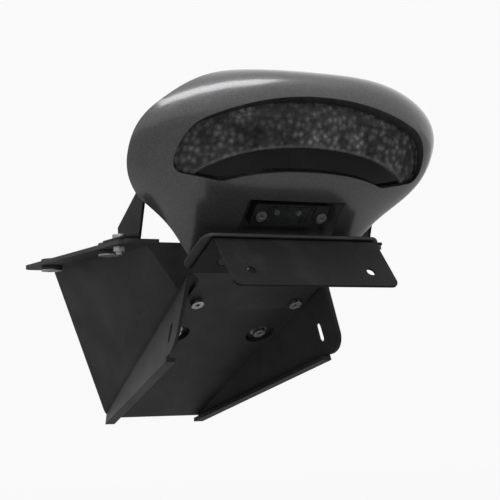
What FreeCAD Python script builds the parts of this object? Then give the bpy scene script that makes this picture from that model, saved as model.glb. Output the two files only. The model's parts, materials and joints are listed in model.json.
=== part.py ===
import FreeCAD, Part
import os
import re

import Sketcher
from FreeCAD import Placement, Rotation, Vector

# Undertail of a motorcycle: painted tail cowl with its tail light, plate lamp and plate bracket,
# and the black rear panel and undertray that close the tail from below.
# X is the rider's right, Y is forward, Z is up. The origin is the centre of the four subframe
# bolts, level with the top of the undertray's flanges. All sizes are in millimetres.

SIZES = (
    # Plan outlines of the cowl, from its crown down to its toe. Each has a height over the flanges,
    # a half width, a reach behind the origin and a fullness, where 2 is an ellipse.
    ("crown_height", 109), ("crown_half", 58), ("crown_reach", 160), ("crown_fullness", 2.5),
    ("brow_height", 103), ("brow_half", 88), ("brow_reach", 177), ("brow_fullness", 2.8),
    ("nose_height", 92), ("nose_half", 110), ("nose_reach", 185), ("nose_fullness", 3.0),
    ("cheek_height", 74), ("cheek_half", 123), ("cheek_reach", 184), ("cheek_fullness", 3.4),
    ("waist_height", 56), ("waist_half", 124), ("waist_reach", 178), ("waist_fullness", 3.4),
    ("lip_height", 38), ("lip_half", 117), ("lip_reach", 169), ("lip_fullness", 3.2),
    ("chin_height", 20), ("chin_half", 98), ("chin_reach", 153), ("chin_fullness", 3.0),
    ("heel_height", 0), ("heel_half", 77), ("heel_reach", 134), ("heel_fullness", 2.7),
    ("toe_height", -24), ("toe_half", 60), ("toe_reach", 116), ("toe_fullness", 2.4),
    ("plan_centre", 104),
    ("cowl_wall", 3),
    # Rim against the seat: upright over the visor, then slanting down the shoulders
    ("rim_reach", 166), ("rim_height", 92), ("rim_angle", 50.6), ("rim_roof", 163), ("rim_round", 30),
    ("cowl_front", 110),
    # Eye-shaped lens opening, seen from behind
    ("eye_half", 100), ("eye_tip_height", 44), ("eye_rise", 41), ("eye_drop", 20),
    ("eye_end_round", 27), ("eye_foot_round", 10),
    ("bulge_half", 75), ("bulge_height", 21), ("bulge_rise", 15), ("eye_corner", 14),
    ("reveal_wall", 2.5), ("reveal_lap", 2.5),
    ("recess_top", 12), ("recess_foot", 2.5),
    # Tail light
    ("lens_wall", 3), ("band_width", 17), ("band_step", 1.2),
    ("gasket_width", 1.6), ("gasket_sink", 0.8), ("gasket_lap", 3),
    ("housing_wall", 2.5), ("housing_back", 132),
    ("reflector_set", 9), ("reflector_wall", 1.5), ("window_gap", 1.5),
    ("board_wall", 1.6), ("board_post", 3), ("board_post_radius", 3.5), ("board_post_pitch", 56),
    ("led_radius", 2.6), ("led_tall", 3), ("led_pitch", 17), ("led_row_height", 66), ("led_count", 7),
    ("tab_half_width", 7), ("tab_root", 15), ("tab_reach", 112), ("tab_height", 47),
    ("light_screw_place", 7), ("light_boss_radius", 6),
    ("grommet_radius", 7), ("grommet_neck", 5), ("grommet_bore", 3), ("grommet_lip", 2),
    ("grommet_height", 52),
    # Screws of the light and the cowl
    ("screw_radius", 2), ("screw_head_radius", 4.2), ("screw_head_tall", 2.8), ("screw_reach", 12),
    ("screw_key", 1.4), ("clearance", 0.2),
    # Slope of the rear panel and the undertray's floor, from the seam between them
    ("slope", 27.9), ("seam_reach", 80), ("seam_drop", 37),
    ("panel_wall", 3), ("panel_rear", 72), ("panel_lap", 18), ("panel_rear_half", 72),
    ("panel_front_half", 51), ("panel_corner", 8),
    # Plate lamp in its recess, on the slope of the chin
    ("lamp_reach", 141.5), ("lamp_height", 7.5), ("lamp_angle", 47),
    ("pocket_half", 40), ("pocket_half_tall", 14.5), ("pocket_depth", 11), ("pocket_bevel", 7),
    ("pocket_wall", 2.5),
    ("lamp_half", 30), ("lamp_half_tall", 9), ("lamp_tall", 7), ("lamp_wall", 1.6),
    ("lamp_glass_half", 19), ("lamp_glass_wall", 1.8),
    ("lamp_screw_place", 24.5), ("lamp_board_wall", 1.2), ("lamp_led_radius", 2), ("lamp_led_tall", 1.4),
    ("lamp_led_place", 9),
    # Plate bracket, a folded sheet under the rear panel
    ("bracket_half", 66), ("bracket_wall", 2), ("bracket_face", 44), ("bracket_lean", 10.8),
    ("bracket_tab", 40), ("bracket_fold", 2.5), ("bracket_corner", 6),
    ("bracket_bolt_place", 30), ("bracket_bolt_set", 30),
    ("plate_hole_radius", 3.2), ("plate_hole_place", 48), ("plate_hole_set", 30),
    # Undertray: a sloping pan with flanges above and skirts below
    ("tray_wall", 3), ("tray_front", 78), ("tray_rear_half", 58), ("tray_front_half", 42),
    ("tray_top_half", 84), ("tray_edge", 9), ("flange_width", 25), ("flange_rear", 96),
    ("flange_corner", 8),
    ("skirt_rear_deep", 52), ("skirt_front_deep", 5), ("skirt_flare", 14), ("skirt_lip", 5),
    ("skirt_rear", 92), ("skirt_round", 16),
    ("slot_long", 14), ("slot_radius", 3), ("slot_reach", 74), ("slot_drop", 66),
    ("rib_wall", 2), ("rib_tall", 8), ("rib_pitch", 34), ("rib_gap", 5),
    ("dimple_place", 36), ("dimple_set", 57), ("dimple_radius", 11), ("dimple_deep", 4),
    ("seam_screw_place", 41), ("rivet_place", 44), ("rivet_set", 46),
    # Side brackets between the undertray's flanges and the cowl's cheeks
    ("side_wall", 2), ("side_leg", 94), ("side_foot", 15), ("side_foot_front", 62),
    ("side_foot_rear", 94), ("side_bolt_reach", 76), ("side_bolt_place", 102),
    ("side_screw_reach", 7), ("side_screw_height", 32), ("side_pad", 6), ("side_corner", 5),
    ("side_boss_radius", 5.5), ("cheek_screw_bite", 8),
    # Subframe mounts
    ("mount_place", 13), ("mount_half_pitch", 50), ("mount_grommet_radius", 8), ("mount_neck_radius", 6),
    ("mount_lip", 2.5), ("collar_radius", 4.5), ("collar_bore", 3.25), ("collar_flange_radius", 8),
    ("collar_flange", 1.2),
    # Bolts, nuts, washers and rivets
    ("bolt_radius", 2.5), ("bolt_head_radius", 4.75), ("bolt_head_tall", 3.2), ("bolt_key", 1.7),
    ("washer_radius", 6.5), ("washer_wall", 1), ("nut_radius", 4.6), ("nut_tall", 4), ("nut_stick", 2),
    ("rivet_radius", 3), ("rivet_head_radius", 6), ("rivet_head_tall", 2), ("rivet_key", 1.6),
    ("rivet_grip", 5), ("strap_wall", 2), ("strap_half_wide", 9), ("strap_end", 12), ("strap_corner", 8),
    ("key_deep", 0.6),
)

LEVELS = ("crown", "brow", "nose", "cheek", "waist", "lip", "chin", "heel", "toe")
OUTLINE_POINTS = 20
FAR = 300

doc = FreeCAD.newDocument("undertail")
sheet = doc.addObject("Spreadsheet::Sheet", "Sizes")
for row, (alias, value) in enumerate(SIZES, start=1):
    sheet.set(f"A{row}", alias.replace("_", " "))
    sheet.set(f"B{row}", str(value))
    sheet.setAlias(f"B{row}", alias)
doc.recompute()
ALIASES = {alias for alias, value in SIZES}
NODES = []


def size(alias):
    return float(sheet.get(alias))


def formula(text):
    """An expression in which each size's name stands for its cell."""
    def cell(match):
        word = match.group(0)
        return f"Sizes.{word}" if word in ALIASES else word
    return re.sub(r"[a-z_]+", cell, str(text))


def tie(thing, **sizes):
    """Bind properties to formulas of the sheet's sizes."""
    for name, text in sizes.items():
        thing.setExpression(name, formula(text))
    return thing


def place(thing, x=0, y=0, z=0, axis=None, turn=0):
    """Bind a thing's place, and its turn about an axis in degrees, to formulas."""
    if axis is not None:
        thing.Placement = Placement(Vector(), Rotation(Vector(*axis), 1))
        thing.setExpression("Placement.Rotation.Angle", formula(turn))
    for letter, text in zip("xyz", (x, y, z)):
        thing.setExpression(f"Placement.Base.{letter}", formula(text))
    return thing


def add(kind, name):
    return doc.addObject(kind, name)


def box(name, x, y, z, axis=None, turn=0):
    """A block given by its low and high formula on each axis, before any turn."""
    block = tie(add("Part::Box", name), Length=f"({x[1]}) - ({x[0]})", Width=f"({y[1]}) - ({y[0]})",
                Height=f"({z[1]}) - ({z[0]})")
    return place(block, x[0], y[0], z[0], axis, turn)


def cylinder(name, radius, tall, x=0, y=0, z=0, axis=None, turn=0):
    rod = tie(add("Part::Cylinder", name), Radius=radius, Height=tall)
    return place(rod, x, y, z, axis, turn)


def cut(name, base, tool):
    result = add("Part::Cut", name)
    result.Base = base
    result.Tool = tool
    return result


def fuse(name, *shapes):
    result = add("Part::MultiFuse", name)
    result.Shapes = list(shapes)
    result.Refine = True
    return result


def common(name, *shapes):
    result = add("Part::MultiCommon", name)
    result.Shapes = list(shapes)
    return result


def group(name, pieces):
    result = add("Part::Compound", name)
    result.Links = pieces
    return result


def solid(name, shape):
    """A form that no primitive gives, set from the sheet's sizes."""
    result = add("Part::Feature", name)
    result.Shape = shape
    return result


def node(label, thing):
    thing.Label = label
    NODES.append(thing)
    return thing


# Tilted frames: a point behind and over the origin, and a turn that lowers the frame's forward
# direction. Places in a frame are x across, u forward along the tilt and v out of it, upward.
RIM = ("-rim_reach", "rim_height", "rim_angle")
SLOPE = ("-seam_reach", "-seam_drop", "slope")
LEVEL = (0, 0, 0)
CHIN = ("-lamp_reach", "lamp_height", "lamp_angle")


def on(frame, x, u, v):
    """The place of a point of a tilted frame, as formulas."""
    y, z, angle = frame
    return (x, f"{y} + ({u}) * cos({angle}) + ({v}) * sin({angle})",
            f"{z} - ({u}) * sin({angle}) + ({v}) * cos({angle})")


def slab(name, frame, x, u, v):
    """A block along a tilted frame, given by its low and high formula on x, u and v."""
    block = tie(add("Part::Box", name), Length=f"({x[1]}) - ({x[0]})", Width=f"({u[1]}) - ({u[0]})",
                Height=f"({v[1]}) - ({v[0]})")
    return place(block, *on(frame, x[0], u[0], v[0]), (1, 0, 0), f"-({frame[2]})")


def rod(name, frame, radius, x, u, v):
    """A cylinder out of a tilted frame, from its low to its high formula on v."""
    return cylinder(name, radius, f"({v[1]}) - ({v[0]})", *on(frame, x, u, v[0]),
                    (1, 0, 0), f"-({frame[2]})")


def upward(frame):
    return ((1, 0, 0), f"-({frame[2]})")


def downward(frame):
    return ((1, 0, 0), f"180 - ({frame[2]})")


# Screws stand on their own Z: the head's seat is at zero, the head above it, the shank below.
BACKWARD = ((1, 0, 0), 90)
FORWARD = ((1, 0, 0), -90)
LEFTWARD = ((0, 1, 0), -90)
RIGHTWARD = ((0, 1, 0), 90)
UPRIGHT = ((1, 0, 0), 0)
SIDES = ((-1, "left"), (1, "right"))
BOLT_HOLE = "bolt_radius + clearance"
SCREW_HOLE = "screw_radius + clearance"
RIVET_HOLE = "rivet_radius + clearance"
# Cheek screws are placed ahead of the light housing's back, light screws in from the tips of the
# housing's tabs, and mounts out from the undertray's mouth.
CHEEK_SCREW = "(housing_back - side_screw_reach)"
LIGHT_SCREW = "(tab_reach - light_screw_place)"
MOUNT = "(tray_top_half + mount_place)"


def screw(name, kind, reach, x, y, z, facing):
    """A headed screw with a hexagon socket, its head facing the given way."""
    head = cylinder(f"{name}_head", f"{kind}_head_radius", f"{kind}_head_tall")
    shank = cylinder(f"{name}_shank", f"{kind}_radius", reach, z=f"-({reach})")
    socket = tie(add("Part::Prism", f"{name}_socket"), Circumradius=f"{kind}_key",
                 Height=f"{kind}_head_tall")
    place(socket, z=f"{kind}_head_tall * (1 - key_deep)")
    whole = cut(name, fuse(f"{name}_blank", head, shank), socket)
    return place(whole, x, y, z, facing[0], facing[1])


def along_frame(frame, letter):
    """The direction of a tilted frame's u or v."""
    tilt = Rotation(Vector(1, 0, 0), -size(frame[2]))
    return tilt.multVec(Vector(0, 1, 0) if letter == "u" else Vector(0, 0, 1))


def round_edges(name, base, radius, direction, keep=None):
    """Round a piece's straight edges that run in one direction, all or those that keep accepts."""
    doc.recompute()
    chosen = []
    for number, edge in enumerate(base.Shape.Edges, start=1):
        straight = edge.Curve.TypeId == "Part::GeomLine"
        if straight and abs(edge.tangentAt(edge.FirstParameter).dot(direction)) > 0.999:
            if keep is None or keep(edge.CenterOfMass):
                chosen.append((number, radius, radius))
    result = add("Part::Fillet", name)
    result.Base = base
    result.Edges = chosen
    return result


def polygon(sketch, corners):
    """Straight sides through corners, each corner tied to two formulas of the sheet."""
    count = len(corners)
    turns = [Rotation(Vector(0, 0, 1), 360 * step / count) for step in range(count)]
    start = [turn.multVec(Vector(FAR, 0, 0)) for turn in turns]
    for step in range(count):
        sketch.addGeometry(Part.LineSegment(start[step], start[(step + 1) % count]))
    for step in range(count):
        sketch.addConstraint(Sketcher.Constraint("Coincident", step, 2, (step + 1) % count, 1))
    for step, corner in enumerate(corners):
        for letter, text, value in zip("XY", corner, start[step]):
            number = sketch.addConstraint(Sketcher.Constraint(f"Distance{letter}", -1, 1, step, 1, value))
            sketch.renameConstraint(number, f"{letter}{step}")
            sketch.setExpression(f"Constraints.{letter}{step}", formula(text))
    return sketch


def padded(name, role, corners, offset, length):
    """A body with one padded outline on an origin plane, raised by an offset."""
    body = add("PartDesign::Body", name)
    sketch = body.newObject("Sketcher::SketchObject", f"{name}_outline")
    plane = [feature for feature in body.Origin.OriginFeatures if feature.Role == role][0]
    sketch.AttachmentSupport = [(plane, "")]
    sketch.MapMode = "FlatFace"
    sketch.setExpression("AttachmentOffset.Base.z", formula(offset))
    polygon(sketch, corners)
    pad = body.newObject("PartDesign::Pad", f"{name}_pad")
    pad.Profile = sketch
    tie(pad, Length=length)
    return body


def section(name, y, corners):
    """A cross-section of the undertray at one place along it."""
    sketch = polygon(add("Sketcher::SketchObject", name), corners)
    return place(sketch, 0, y, 0, (1, 0, 0), 90)


def loft(name, sections):
    result = add("Part::Loft", name)
    result.Sections = sections
    result.Solid = True
    return result


def nut(name, frame, x, u, v):
    """A hexagon nut out of a tilted frame, standing on v."""
    blank = tie(add("Part::Prism", f"{name}_blank"), Circumradius="nut_radius", Height="nut_tall")
    bore = cylinder(f"{name}_bore", "bolt_radius", "nut_tall")
    return place(cut(name, blank, bore), *on(frame, x, u, v), *upward(frame))


def washer(name, frame, x, u, v):
    disc = cylinder(f"{name}_disc", "washer_radius", "washer_wall")
    bore = cylinder(f"{name}_bore", BOLT_HOLE, "washer_wall")
    return place(cut(name, disc, bore), *on(frame, x, u, v), *upward(frame))


# Tail form: a smooth body through the plan outlines


def plan_outline(half, depth, fullness, height):
    """A closed curve of superelliptic plan, centred over the plan centre."""
    points = []
    for step in range(OUTLINE_POINTS):
        # The curve starts at the front, away from every visible face.
        turn = 90 + 360 * step / OUTLINE_POINTS
        spoke = Rotation(Vector(0, 0, 1), turn).multVec(Vector(1, 0, 0))
        share = (abs(spoke.x) ** fullness + abs(spoke.y) ** fullness) ** (-1 / fullness)
        points.append(Vector(half * spoke.x * share, depth * spoke.y * share - size("plan_centre"), height))
    curve = Part.BSplineCurve()
    steps = [float(step) for step in range(OUTLINE_POINTS + 1)]
    curve.interpolate(Points=points, Parameters=steps, PeriodicFlag=True)
    return Part.Wire(curve.toShape())


def lens_recess(height):
    """How far the lens lies behind the cowl's skin: deep under the visor, shallow at the chin."""
    low, high = size("chin_height"), size("nose_height")
    share = min(max((height - low) / (high - low), 0), 1)
    return size("recess_foot") + share * (size("recess_top") - size("recess_foot"))


def tail_form(name, inset, recessed=False):
    """The tail's body drawn in by a wall all round, as the cowl's skin or as the recessed lens."""
    outlines = []
    for level in LEVELS:
        height = size(f"{level}_height")
        depth = size(f"{level}_reach") - size("plan_centre") - inset
        if recessed:
            depth -= lens_recess(height)
        least = size("cowl_wall")
        outlines.append(plan_outline(size(f"{level}_half") - inset, max(depth, least),
                                     size(f"{level}_fullness"), height))
    return solid(name, Part.makeLoft(outlines, True))


def eye_arch(half, rise, corner):
    """The lens opening over its tips, or under them for a negative rise: one broad arc between two."""
    tip = Vector(0, 0, size("eye_tip_height"))
    tall = abs(rise)
    up = Vector(0, 0, rise / tall)
    broad = (half ** 2 + tall ** 2 - 2 * half * corner) / (2 * (tall - corner))
    way = (Vector(half - corner, 0, 0) - up * (tall - broad)).normalize()
    ends = []
    for side in (1, -1):
        out = Vector(side, 0, 0)
        turned = Vector(side * way.x, 0, way.z)
        middle = tip + out * (half - corner)
        bend = middle + (out + turned).normalize() * corner
        ends.append((tip + out * half, bend, middle + turned * corner))
    (start, start_bend, start_joint), (end, end_bend, end_joint) = ends
    arcs = (Part.Arc(start, start_bend, start_joint), Part.Arc(start_joint, tip + up * tall, end_joint),
            Part.Arc(end_joint, end_bend, end))
    return [arc.toShape() for arc in arcs]


def bulge_face(grow):
    """The upward bulge of the chin under the lens, as a full ellipse across the tail."""
    middle = Vector(0, 0, size("bulge_height"))
    half, rise = size("bulge_half") + grow, size("bulge_rise") + grow
    ellipse = Part.Ellipse(middle + Vector(half, 0, 0), middle + Vector(0, 0, rise), middle)
    return Part.Face(Part.Wire(ellipse.toShape()))


def lengthwise(face, rear, front):
    """A prism of a face across the tail, from one place behind the origin to another."""
    face.translate(Vector(0, -rear, 0))
    return face.extrude(Vector(0, rear - front, 0))


def eye_prism(name, grow, rear=FAR, front=None):
    """The lens opening's outline, grown all round and run in from behind to the given place."""
    front = size("plan_centre") if front is None else front
    half = size("eye_half") + grow
    upper = eye_arch(half, size("eye_rise") + grow, size("eye_end_round") + grow)
    lower = eye_arch(half, -size("eye_drop") - grow, size("eye_foot_round") + grow)
    outline = Part.Face(Part.Wire(Part.sortEdges(upper + lower)[0])).cut(bulge_face(-grow)).Faces[0]
    prism = lengthwise(outline, rear, front)
    along = Vector(0, 1, 0)
    corners = [edge for edge in prism.Edges if edge.Length > rear - front - 1
               and edge.CenterOfMass.z < size("eye_tip_height") - 1
               and abs(edge.CenterOfMass.x) < size("bulge_half") - grow
               and abs(edge.tangentAt(edge.FirstParameter).dot(along)) > 0.999]
    return solid(name, prism.makeFillet(size("eye_corner") + grow, corners))


def tail_cowl():
    outer = tail_form("cowl_outside", 0)
    hollow = tail_form("cowl_hollow", size("cowl_wall"))
    # The opening's painted reveal runs in from the skin to behind the lens.
    reveal_space = tail_form("reveal_space", size("lens_wall") + size("reveal_lap"), True)
    reveal = cut("reveal", eye_prism("reveal_outline", size("reveal_wall")), reveal_space)
    foot = slab("cowl_foot", SLOPE, (-FAR, FAR), (-FAR, FAR), (-FAR, "cowl_wall"))
    pocket_walls = slab("pocket_walls", CHIN, ("-pocket_half - pocket_wall", "pocket_half + pocket_wall"),
                        ("-pocket_half_tall - pocket_wall", "pocket_half_tall + pocket_wall"),
                        ("-2 * pocket_depth", "pocket_depth + pocket_wall"))
    solid_inside = [reveal, foot, pocket_walls]
    holes = []
    for side, name, facing in ((-1, "left", LEFTWARD), (1, "right", RIGHTWARD)):
        light = (f"{side} * {LIGHT_SCREW}", "-housing_back - housing_wall", "tab_height", *BACKWARD)
        cheek = (f"{side} * (side_leg + side_wall)", f"-{CHEEK_SCREW}", "side_screw_height", *facing)
        light_boss = cylinder(f"{name}_light_boss", "light_boss_radius", "rim_reach - housing_back", *light)
        cheek_boss = cylinder(f"{name}_cheek_boss", "side_boss_radius", "lip_half - side_leg", *cheek)
        solid_inside.extend((light_boss, cheek_boss))
        holes.append(cylinder(f"{name}_light_hole", SCREW_HOLE, "screw_reach", *light))
        holes.append(cylinder(f"{name}_cheek_hole", SCREW_HOLE, "cheek_screw_bite", *cheek))
        holes.append(rod(f"{name}_rivet_hole", SLOPE, RIVET_HOLE, f"{side} * rivet_place",
                         "-rivet_set", (-1, "2 * cowl_wall")))
        holes.append(rod(f"{name}_bracket_hole", SLOPE, BOLT_HOLE, f"{side} * bracket_bolt_place",
                         "bracket_bolt_set - panel_rear", (-1, "2 * cowl_wall")))
        holes.append(rod(f"{name}_lamp_hole", CHIN, SCREW_HOLE, f"{side} * lamp_screw_place",
                         0, (0, "2 * pocket_depth")))
    for count, piece in enumerate(solid_inside):
        hollow = cut(f"hollow_{count}", hollow, piece)
    shell = cut("cowl_shell", outer, hollow)
    # The rim follows the seat, and the chin ends on the rear panel.
    over_rim = common("over_rim", slab("over_shoulders", RIM, (-FAR, FAR), (-FAR, FAR), (0, FAR)),
                      box("ahead_of_roof", (-FAR, FAR), ("-rim_roof", FAR), (-FAR, FAR)))
    over_rim = round_edges("rounded_rim", over_rim, size("rim_round"), Vector(1, 0, 0),
                           lambda middle: middle.y < 1 - size("rim_roof") and middle.z < FAR / 2)
    ahead = box("ahead_of_cowl", (-FAR, FAR), ("-cowl_front", FAR), (-FAR, FAR))
    below = slab("below_cowl", SLOPE, (-FAR, FAR), (-FAR, FAR), (-FAR, 0))
    pocket = tie(add("Part::Wedge", "lamp_pocket"),
                 Xmin="-pocket_half - pocket_bevel", Xmax="pocket_half + pocket_bevel",
                 X2min="-pocket_half + pocket_bevel", X2max="pocket_half - pocket_bevel",
                 Ymin="-pocket_depth", Ymax="pocket_depth",
                 Zmin="-pocket_half_tall", Zmax="pocket_half_tall",
                 Z2min="-pocket_half_tall", Z2max="pocket_half_tall")
    place(pocket, *on(CHIN, 0, 0, 0), (1, 0, 0), "90 - lamp_angle")
    for count, piece in enumerate((eye_prism("opening", 0), over_rim, ahead, below, pocket, *holes)):
        shell = cut(f"cowl_cut_{count}", shell, piece)
    node("tail_cowl", shell)


def tail_light():
    gasket = size("gasket_width")
    wall = size("housing_wall")
    lens_inside = tail_form("lens_inside", size("lens_wall"), True)
    # Lens: a smoked sheet behind the skin, with a lower band set in along the bulge of the chin
    sheet_form = cut("lens_sheet", tail_form("lens_outside", 0, True), lens_inside)
    glass = common("lens_glass", sheet_form, eye_prism("lens_outline", -gasket))
    band_prism = lengthwise(bulge_face(size("band_width")), FAR, size("plan_centre"))
    band_outline = solid("band_outline", band_prism)
    band = cut("band_space", band_outline, tail_form("band_outside", size("band_step"), True))
    node("tail_light_lens", cut("lens", glass, band))

    ring = cut("gasket_ring", eye_prism("gasket_outside", 0), eye_prism("gasket_inside", -gasket))
    depth = cut("gasket_depth", tail_form("gasket_front", size("gasket_sink"), True),
                tail_form("gasket_end", size("lens_wall") + size("gasket_lap"), True))
    node("lens_gasket", common("gasket", ring, depth))

    # Housing: a deep shell on the lens's edge, with screw tabs, board posts and a cable hole
    back = size("housing_back")
    shell = common("housing_block", eye_prism("housing_outside", -gasket, FAR, back), lens_inside)
    shell = cut("housing_shell", shell, eye_prism("housing_room", -gasket - wall, FAR, back + wall))
    extras = []
    through = "-housing_back - 2 * housing_wall"
    holes = [cylinder("cable_hole", "grommet_neck", "3 * housing_wall", 0, through, "grommet_height",
                      *FORWARD)]
    screws = []
    for side, name in SIDES:
        root, tip = f"{side} * (eye_half - tab_root)", f"{side} * tab_reach"
        across = (root, tip) if side > 0 else (tip, root)
        extras.append(box(f"{name}_tab", across, ("-housing_back - housing_wall", "-housing_back"),
                          ("tab_height - tab_half_width", "tab_height + tab_half_width")))
        post_at = (f"{side} * board_post_pitch", "-housing_back - housing_wall", "led_row_height")
        extras.append(cylinder(f"{name}_post", "board_post_radius", "board_post", *post_at, *BACKWARD))
        holes.append(cylinder(f"{name}_tab_hole", SCREW_HOLE, "3 * housing_wall",
                              f"{side} * {LIGHT_SCREW}", through, "tab_height", *FORWARD))
        screws.append(screw(f"{name}_light_screw", "screw", "screw_reach", f"{side} * {LIGHT_SCREW}",
                            "-housing_back", "tab_height", FORWARD))
    whole = fuse("housing_whole", shell, *extras)
    node("light_housing", cut("housing", whole, fuse("housing_holes", *holes)))
    node("light_screws", group("light_screw_pair", screws))

    # Grommet for the cable, a lip on each side of the housing's back
    lips = []
    for count, y in enumerate(("-housing_back - housing_wall - grommet_lip", "-housing_back")):
        lips.append(cylinder(f"grommet_lip_{count}", "grommet_radius", "grommet_lip", 0, y, "grommet_height",
                             *FORWARD))
    neck = cylinder("grommet_neck_rod", "grommet_neck", "housing_wall", 0, "-housing_back - housing_wall",
                    "grommet_height", *FORWARD)
    bore = cylinder("grommet_bore_rod", "grommet_bore", FAR, 0, f"-{FAR}", "grommet_height", *FORWARD)
    node("cable_grommet", cut("grommet", fuse("grommet_body", neck, *lips), bore))

    # Board, lamps and the bright reflector with a window for each lamp
    board_front = back + wall + size("board_post")
    board_outline = eye_prism("board_outline", -gasket - wall - size("clearance"),
                              board_front + size("board_wall"), board_front)
    board_room = box("board_room", ("-board_post_pitch - 2 * board_post_radius",
                                    "board_post_pitch + 2 * board_post_radius"), (-FAR, 0),
                     ("grommet_height + grommet_radius + clearance - board_post_radius", FAR))
    node("led_board", common("board", board_outline, board_room))
    board_face = "housing_back + housing_wall + board_post + board_wall"
    lamps, windows = [], []
    count = round(size("led_count"))
    for step in range(count):
        x = f"{step - (count - 1) / 2} * led_pitch"
        lamps.append(cylinder(f"lamp_{step}", "led_radius", "led_tall", x, f"-({board_face})",
                              "led_row_height", *BACKWARD))
        windows.append(cylinder(f"window_{step}", "led_radius + window_gap", FAR, x, "-plan_centre",
                                "led_row_height", *BACKWARD))
    node("tail_leds", group("lamp_row", lamps))
    front = size("lens_wall") + size("reflector_set")
    bowl = cut("reflector_sheet", tail_form("reflector_front", front, True),
               tail_form("reflector_rear", front + size("reflector_wall"), True))
    bowl = common("reflector_bowl", bowl, eye_prism("reflector_outline", -gasket - wall))
    node("light_reflector", cut("reflector", bowl, fuse("reflector_windows", *windows)))


def plate_lamp():
    """The lamp on the floor of the chin's recess, shining down at the plate."""
    face = "pocket_depth - lamp_tall"
    inner = "lamp_half_tall - lamp_wall"
    block = slab("lamp_block", CHIN, ("-lamp_half", "lamp_half"), ("-lamp_half_tall", "lamp_half_tall"),
                 (face, "pocket_depth"))
    rounded = round_edges("lamp_rounded", block, size("lamp_wall"), along_frame(CHIN, "v"))
    room = slab("lamp_room", CHIN, ("-lamp_glass_half", "lamp_glass_half"), (f"-({inner})", inner),
                (f"{face} - 1", "pocket_depth - lamp_wall"))
    holes, screws, lamps = [], [], []
    for side, name in SIDES:
        holes.append(rod(f"{name}_lamp_bore", CHIN, SCREW_HOLE, f"{side} * lamp_screw_place", 0,
                         (f"{face} - 1", "pocket_depth + 1")))
        seat = on(CHIN, f"{side} * lamp_screw_place", 0, face)
        screws.append(screw(f"{name}_lamp_screw", "screw", "screw_reach", *seat, downward(CHIN)))
        lamps.append(rod(f"{name}_plate_led", CHIN, "lamp_led_radius", f"{side} * lamp_led_place", 0,
                         ("pocket_depth - lamp_wall - lamp_board_wall - lamp_led_tall",
                          "pocket_depth - lamp_wall - lamp_board_wall")))
    node("plate_lamp_housing", cut("lamp_housing", rounded, fuse("lamp_cuts", room, *holes)))
    node("plate_lamp_screws", group("lamp_screw_pair", screws))
    node("plate_lamp_leds", group("plate_led_pair", lamps))
    across = ("clearance - lamp_glass_half", "lamp_glass_half - clearance")
    along = (f"clearance - ({inner})", f"{inner} - clearance")
    node("plate_lamp_lens", slab("lamp_glass", CHIN, across, along, (face, f"{face} + lamp_glass_wall")))
    node("plate_lamp_board", slab("lamp_board", CHIN, across, along,
                                  ("pocket_depth - lamp_wall - lamp_board_wall", "pocket_depth - lamp_wall")))


def rear_panel():
    corners = (("-panel_rear_half", "-panel_rear"), ("panel_rear_half", "-panel_rear"),
               ("panel_rear_half", "-panel_rear / 2"), ("panel_front_half", "-panel_lap"),
               ("panel_front_half", "panel_lap"), ("-panel_front_half", "panel_lap"),
               ("-panel_front_half", "-panel_lap"), ("-panel_rear_half", "-panel_rear / 2"))
    sheet_body = padded("panel_sheet", "XY_Plane", corners, "-panel_wall", "panel_wall")
    place(sheet_body, *on(SLOPE, 0, 0, 0), *upward(SLOPE))
    rounded = round_edges("panel_rounded", sheet_body, size("panel_corner"), along_frame(SLOPE, "v"))
    holes = []
    for side, name in SIDES:
        through = ("-2 * panel_wall", "panel_wall")
        holes.append(rod(f"{name}_panel_seam_hole", SLOPE, BOLT_HOLE, f"{side} * seam_screw_place",
                         "panel_lap / 2", through))
        holes.append(rod(f"{name}_panel_rivet_hole", SLOPE, RIVET_HOLE, f"{side} * rivet_place",
                         "-rivet_set", through))
        holes.append(rod(f"{name}_panel_bolt_hole", SLOPE, BOLT_HOLE,
                         f"{side} * bracket_bolt_place", "bracket_bolt_set - panel_rear", through))
    node("rear_panel", cut("panel", rounded, fuse("panel_holes", *holes)))
    rivets = [screw(f"{name}_rivet", "rivet", "panel_wall + cowl_wall + rivet_grip",
                    *on(SLOPE, f"{side} * rivet_place", "-rivet_set", "-panel_wall"), downward(SLOPE))
              for side, name in SIDES]
    node("panel_rivets", group("rivet_pair", rivets))


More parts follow.
